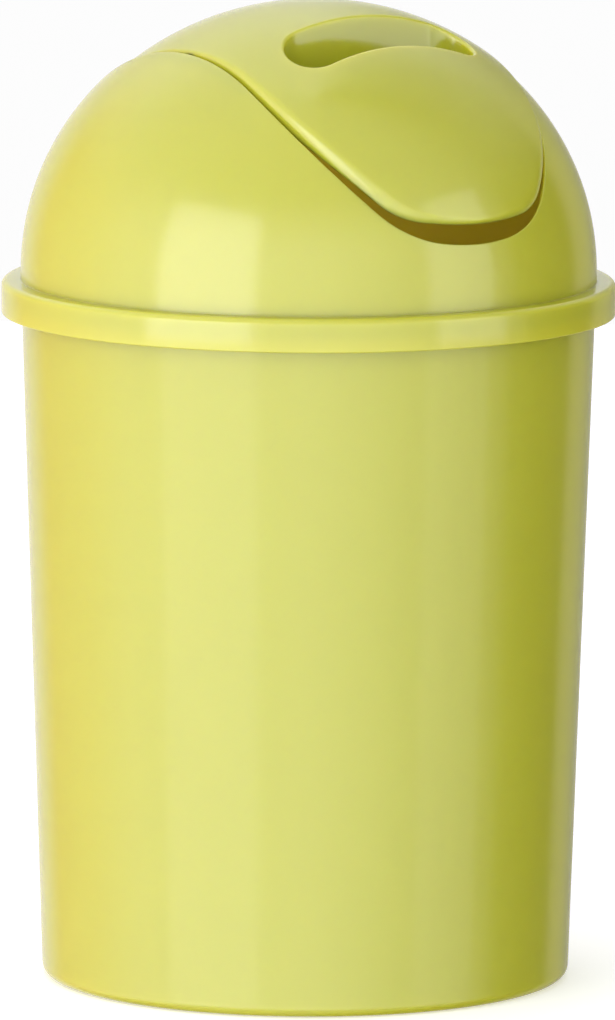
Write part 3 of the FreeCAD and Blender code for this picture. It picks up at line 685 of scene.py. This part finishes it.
    def add_ear(self, bm, flap, outside, pivot):
        """Adds the round ear that a hinge pin sits in."""
        inner = outside - math.copysign(flap.wall / 2, outside)
        place = Matrix.Translation((inner, pivot.y, pivot.z)) @ Matrix.Rotation(math.pi / 2, 4, "Y")
        made = bmesh.ops.create_cone(bm, cap_ends=True, segments=EAR_STEPS, radius1=flap.ear_radius,
                                     radius2=flap.ear_radius, depth=flap.wall * EAR_SHARE, matrix=place)["verts"]
        rims = [edge for edge in {edge for vert in made for edge in vert.link_edges}
                if any(len(face.verts) > 4 for face in edge.link_faces)]
        bmesh.ops.bevel(bm, geom=rims, offset=EAR_ROUNDING, offset_type="OFFSET", affect="EDGES",
                        segments=EAR_BEVEL_STEPS, profile=0.5, material=-1)


class SWINGBIN_OT_dress_pins(Operator):
    """Give the two hinge pins their plastic"""

    bl_idname = "swingbin.dress_pins"
    bl_label = "Dress Pins"

    def execute(self, context):
        finish = context.scene.swing_bin.finish
        material = moulded_plastic("pin_plastic", finish.pin, finish.deep, finish)
        for name in ("hinge_pin_left", "hinge_pin_right"):
            mesh = frame["nodes"][name].data
            mesh.materials.clear()
            mesh.materials.append(material)
        return {"FINISHED"}


# Studio


# How far round from the bin's front the camera stands, what it takes in, and the white behind the bin.
CAMERA_SIDE = math.radians(36)
SENSOR_WIDTH, FAR_LIMIT = 36, 100
BACKDROP = (0.98, 0.98, 0.98)
FLOOR_ROUGHNESS = 0.9
# Soft lights: name, degrees to the right of the camera's side, height of the middle, width, height and watts.
LIGHT_DISTANCE = 1.6
SOFT_LIGHTS = (
    ("left_softbox", -40.5, 0.615, 1.18, 1.27, 6.8),
    ("left_floor_glow", -40.5, -0.52, 1.18, 1.0, 1.5),
    ("right_softbox", 62, 0.64, 0.82, 1.32, 3.05),
    ("right_floor_glow", 62, -0.52, 0.82, 1.0, 0.75),
)
# Light of the room, turned from behind the bin through its left, the camera's side and its right: degrees, then shade.
ROOM_LIGHT = 1.99
ROOM_WALLS = (
    (-180, (0.50, 0.50, 0.50)), (-150, (0.50, 0.46, 0.43)), (-135, (0.56, 0.38, 0.26)), (-105, (0.76, 0.58, 0.51)),
    (-80, (0.88, 0.80, 0.81)), (-55, (0.88, 0.85, 0.87)), (-20, (0.88, 0.87, 0.87)), (0, (0.90, 0.89, 0.89)),
    (25, (0.74, 0.74, 0.73)), (45, (0.58, 0.58, 0.56)), (85, (0.26, 0.25, 0.24)), (93, (0.09, 0.08, 0.07)),
    (110, (0.05, 0.04, 0.03)), (130, (0.06, 0.05, 0.04)), (136, (0.28, 0.25, 0.17)), (142, (0.30, 0.27, 0.18)),
    (150, (0.27, 0.25, 0.18)), (158, (0.21, 0.20, 0.17)), (170, (0.24, 0.23, 0.21)), (180, (0.50, 0.50, 0.50)),
)
# From straight down to straight up: sine of the height, then shade.
ROOM_HEIGHTS = (
    (-1.0, (0.25, 0.25, 0.25)), (-0.75, (0.40, 0.40, 0.40)), (-0.5, (1, 1, 1)), (1.0, (1, 1, 1)),
)
# The ceiling, turned as the walls are, and the heights between which it takes over from them.
ROOM_CEILING = (
    (-180, (0.72, 0.72, 0.72)), (-140, (0.70, 0.70, 0.70)), (-110, (0.58, 0.58, 0.58)), (-70, (0.56, 0.56, 0.56)),
    (0, (0.44, 0.44, 0.44)), (60, (0.36, 0.36, 0.36)), (100, (0.20, 0.20, 0.20)), (140, (0.32, 0.32, 0.32)),
    (180, (0.72, 0.72, 0.72)),
)
CEILING_LOW, CEILING_HIGH = 0.3, 0.65


def fill_ramp(ramp, stops):
    """Sets the stops of a colour ramp, spread from its first stop to its last."""
    first, last = stops[0][0], stops[-1][0]
    elements = ramp.color_ramp.elements
    for number, (place, shade) in enumerate(stops):
        spot = (place - first) / (last - first)
        element = elements.new(spot) if 0 < number < len(stops) - 1 else elements[-1 if number else 0]
        element.position, element.color = spot, (*shade, 1)
    return ramp


def soft_light(name, place, width, height, watts):
    """An upright soft light that faces the bin and stays out of the picture itself."""
    data = bpy.data.lights.new(name, "AREA")
    data.shape, data.size, data.size_y = "RECTANGLE", width, height
    data.energy = watts
    light = bpy.data.objects.new(name, data)
    bpy.context.scene.collection.objects.link(light)
    light.location = place
    light.rotation_euler = Vector((-place.x, -place.y, 0)).to_track_quat("-Z", "Y").to_euler()
    light.visible_camera = False


def round_about(degrees, distance, height):
    """A place round the bin, at an angle to the right of the camera's side."""
    towards = Vector((-math.sin(CAMERA_SIDE), -math.cos(CAMERA_SIDE), 0))
    return Quaternion(UP, math.radians(degrees)) @ towards * distance + UP * height


class SWINGBIN_OT_make_studio(Operator):
    """Make the pale floor, the soft lights and the camera"""

    bl_idname = "swingbin.make_studio"
    bl_label = "Make Studio"

    def execute(self, context):
        studio = context.scene.swing_bin.studio
        self.make_floor(studio)
        self.make_light(context.scene)
        data = bpy.data.cameras.new("camera")
        data.lens, data.sensor_width = studio.lens, SENSOR_WIDTH
        data.clip_end = FAR_LIMIT
        camera = bpy.data.objects.new("camera", data)
        context.scene.collection.objects.link(camera)
        camera.location = studio.camera_place
        view = (UP * studio.aim_height - camera.location).to_track_quat("-Z", "Y")
        camera.rotation_mode = "QUATERNION"
        camera.rotation_quaternion = view @ Quaternion(UP, studio.roll)
        context.scene.camera = camera
        return {"FINISHED"}

    def make_floor(self, studio):
        """Lays a pale floor that only the camera sees, clear from below; the room lights the bin from all sides."""
        material = bpy.data.materials.new("floor_paper")
        material.use_nodes = True
        nodes, links = material.node_tree.nodes, material.node_tree.links
        shader = nodes["Principled BSDF"]
        shader.inputs["Base Color"].default_value = (*studio.floor, 1)
        shader.inputs["Roughness"].default_value = FLOOR_ROUGHNESS
        shader.inputs["Emission Color"].default_value = (1, 1, 1, 1)
        shader.inputs["Emission Strength"].default_value = studio.floor_glow
        geometry, clear = nodes.new("ShaderNodeNewGeometry"), nodes.new("ShaderNodeBsdfTransparent")
        mix = nodes.new("ShaderNodeMixShader")
        links.new(geometry.outputs["Backfacing"], mix.inputs["Fac"])
        links.new(shader.outputs["BSDF"], mix.inputs[1])
        links.new(clear.outputs["BSDF"], mix.inputs[2])
        links.new(mix.outputs["Shader"], nodes["Material Output"].inputs["Surface"])
        bm = bmesh.new()
        bmesh.ops.create_circle(bm, cap_ends=True, segments=FLOOR_STEPS, radius=studio.floor_radius)
        mesh = bpy.data.meshes.new("floor")
        bm.to_mesh(mesh)
        bm.free()
        mesh.materials.append(material)
        floor = bpy.data.objects.new("floor", mesh)
        floor.location.z = -studio.floor_gap
        floor.visible_diffuse = floor.visible_glossy = floor.visible_transmission = floor.visible_shadow = False
        bpy.context.scene.collection.objects.link(floor)

    def make_light(self, scene):
        """Lights the room by direction, shows plain white to the camera, and sets up the soft lights."""
        scene.view_settings.view_transform = "Standard"
        world = bpy.data.worlds.new("studio")
        scene.world = world
        world.use_nodes = True
        nodes, links = world.node_tree.nodes, world.node_tree.links
        place = nodes.new("ShaderNodeTexCoord")
        facing = nodes.new("ShaderNodeVectorRotate")
        facing.rotation_type = "Z_AXIS"
        facing.inputs["Angle"].default_value = math.pi / 2 + CAMERA_SIDE
        round_room = nodes.new("ShaderNodeTexGradient")
        round_room.gradient_type = "RADIAL"
        walls = fill_ramp(nodes.new("ShaderNodeValToRGB"), ROOM_WALLS)
        height = nodes.new("ShaderNodeSeparateXYZ")
        rise = nodes.new("ShaderNodeMapRange")
        rise.inputs["From Min"].default_value = -1
        heights = fill_ramp(nodes.new("ShaderNodeValToRGB"), ROOM_HEIGHTS)
        ceiling = fill_ramp(nodes.new("ShaderNodeValToRGB"), ROOM_CEILING)
        above = nodes.new("ShaderNodeMapRange")
        above.inputs["From Min"].default_value = CEILING_LOW
        above.inputs["From Max"].default_value = CEILING_HIGH
        room = nodes.new("ShaderNodeMix")
        room.data_type = "RGBA"
        light = nodes.new("ShaderNodeMix")
        light.data_type, light.blend_type = "RGBA", "MULTIPLY"
        light.inputs["Factor"].default_value = 1
        links.new(place.outputs["Generated"], facing.inputs["Vector"])
        links.new(facing.outputs["Vector"], round_room.inputs["Vector"])
        links.new(round_room.outputs["Fac"], walls.inputs["Fac"])
        links.new(place.outputs["Generated"], height.inputs["Vector"])
        links.new(height.outputs["Z"], rise.inputs["Value"])
        links.new(rise.outputs["Result"], heights.inputs["Fac"])
        links.new(round_room.outputs["Fac"], ceiling.inputs["Fac"])
        links.new(height.outputs["Z"], above.inputs["Value"])
        links.new(above.outputs["Result"], room.inputs["Factor"])
        links.new(walls.outputs["Color"], room.inputs["A"])
        links.new(ceiling.outputs["Color"], room.inputs["B"])
        links.new(room.outputs["Result"], light.inputs["A"])
        links.new(heights.outputs["Color"], light.inputs["B"])
        lit = nodes["Background"]
        lit.inputs["Strength"].default_value = ROOM_LIGHT
        links.new(light.outputs["Result"], lit.inputs["Color"])
        seen = nodes.new("ShaderNodeBackground")
        seen.inputs["Color"].default_value = (*BACKDROP, 1)
        path = nodes.new("ShaderNodeLightPath")
        mix = nodes.new("ShaderNodeMixShader")
        links.new(path.outputs["Is Camera Ray"], mix.inputs["Fac"])
        links.new(lit.outputs["Background"], mix.inputs[1])
        links.new(seen.outputs["Background"], mix.inputs[2])
        links.new(mix.outputs["Shader"], nodes["World Output"].inputs["Surface"])
        for name, degrees, middle, width, tall, watts in SOFT_LIGHTS:
            soft_light(name, round_about(degrees, LIGHT_DISTANCE, middle), width, tall, watts)


# Panel and start


class SWINGBIN_PT_panel(Panel):
    """Lists the pieces of the swing-top bin"""

    bl_idname = "SWINGBIN_PT_panel"
    bl_label = "Swing-Top Bin"
    bl_space_type = "VIEW_3D"
    bl_region_type = "UI"
    bl_category = "Swing Bin"

    def draw(self, context):
        settings = context.scene.swing_bin
        self.layout.prop(settings, "steps")
        for operator, group in ((SWINGBIN_OT_make_bin, settings.bin), (SWINGBIN_OT_make_lid, settings.lid),
                                (SWINGBIN_OT_make_flap, settings.flap), (SWINGBIN_OT_dress_pins, settings.finish),
                                (SWINGBIN_OT_make_studio, settings.studio)):
            box = self.layout.box()
            box.operator(operator.bl_idname)
            for name in group.__annotations__:
                box.prop(group, name)
        box = self.layout.box()
        for name in settings.dome.__annotations__:
            box.prop(settings.dome, name)


CLASSES = (BinSizes, DomeSizes, LidSizes, FlapSizes, PlasticFinish, StudioSettings, SwingBinSettings,
           SWINGBIN_OT_make_bin, SWINGBIN_OT_make_lid, SWINGBIN_OT_make_flap, SWINGBIN_OT_dress_pins,
           SWINGBIN_OT_make_studio, SWINGBIN_PT_panel)


def register():
    """Registers the classes and hangs the settings on the scene."""
    for item in CLASSES:
        bpy.utils.register_class(item)
    bpy.types.Scene.swing_bin = PointerProperty(type=SwingBinSettings)


def unregister():
    """Takes the settings off the scene and the classes out again."""
    del bpy.types.Scene.swing_bin
    for item in reversed(CLASSES):
        bpy.utils.unregister_class(item)


def main():
    """Builds the bin and its studio."""
    register()
    bpy.ops.swingbin.make_bin()
    bpy.ops.swingbin.make_lid()
    bpy.ops.swingbin.make_flap()
    bpy.ops.swingbin.dress_pins()
    bpy.ops.swingbin.make_studio()


if __name__ == "__main__":
    main()
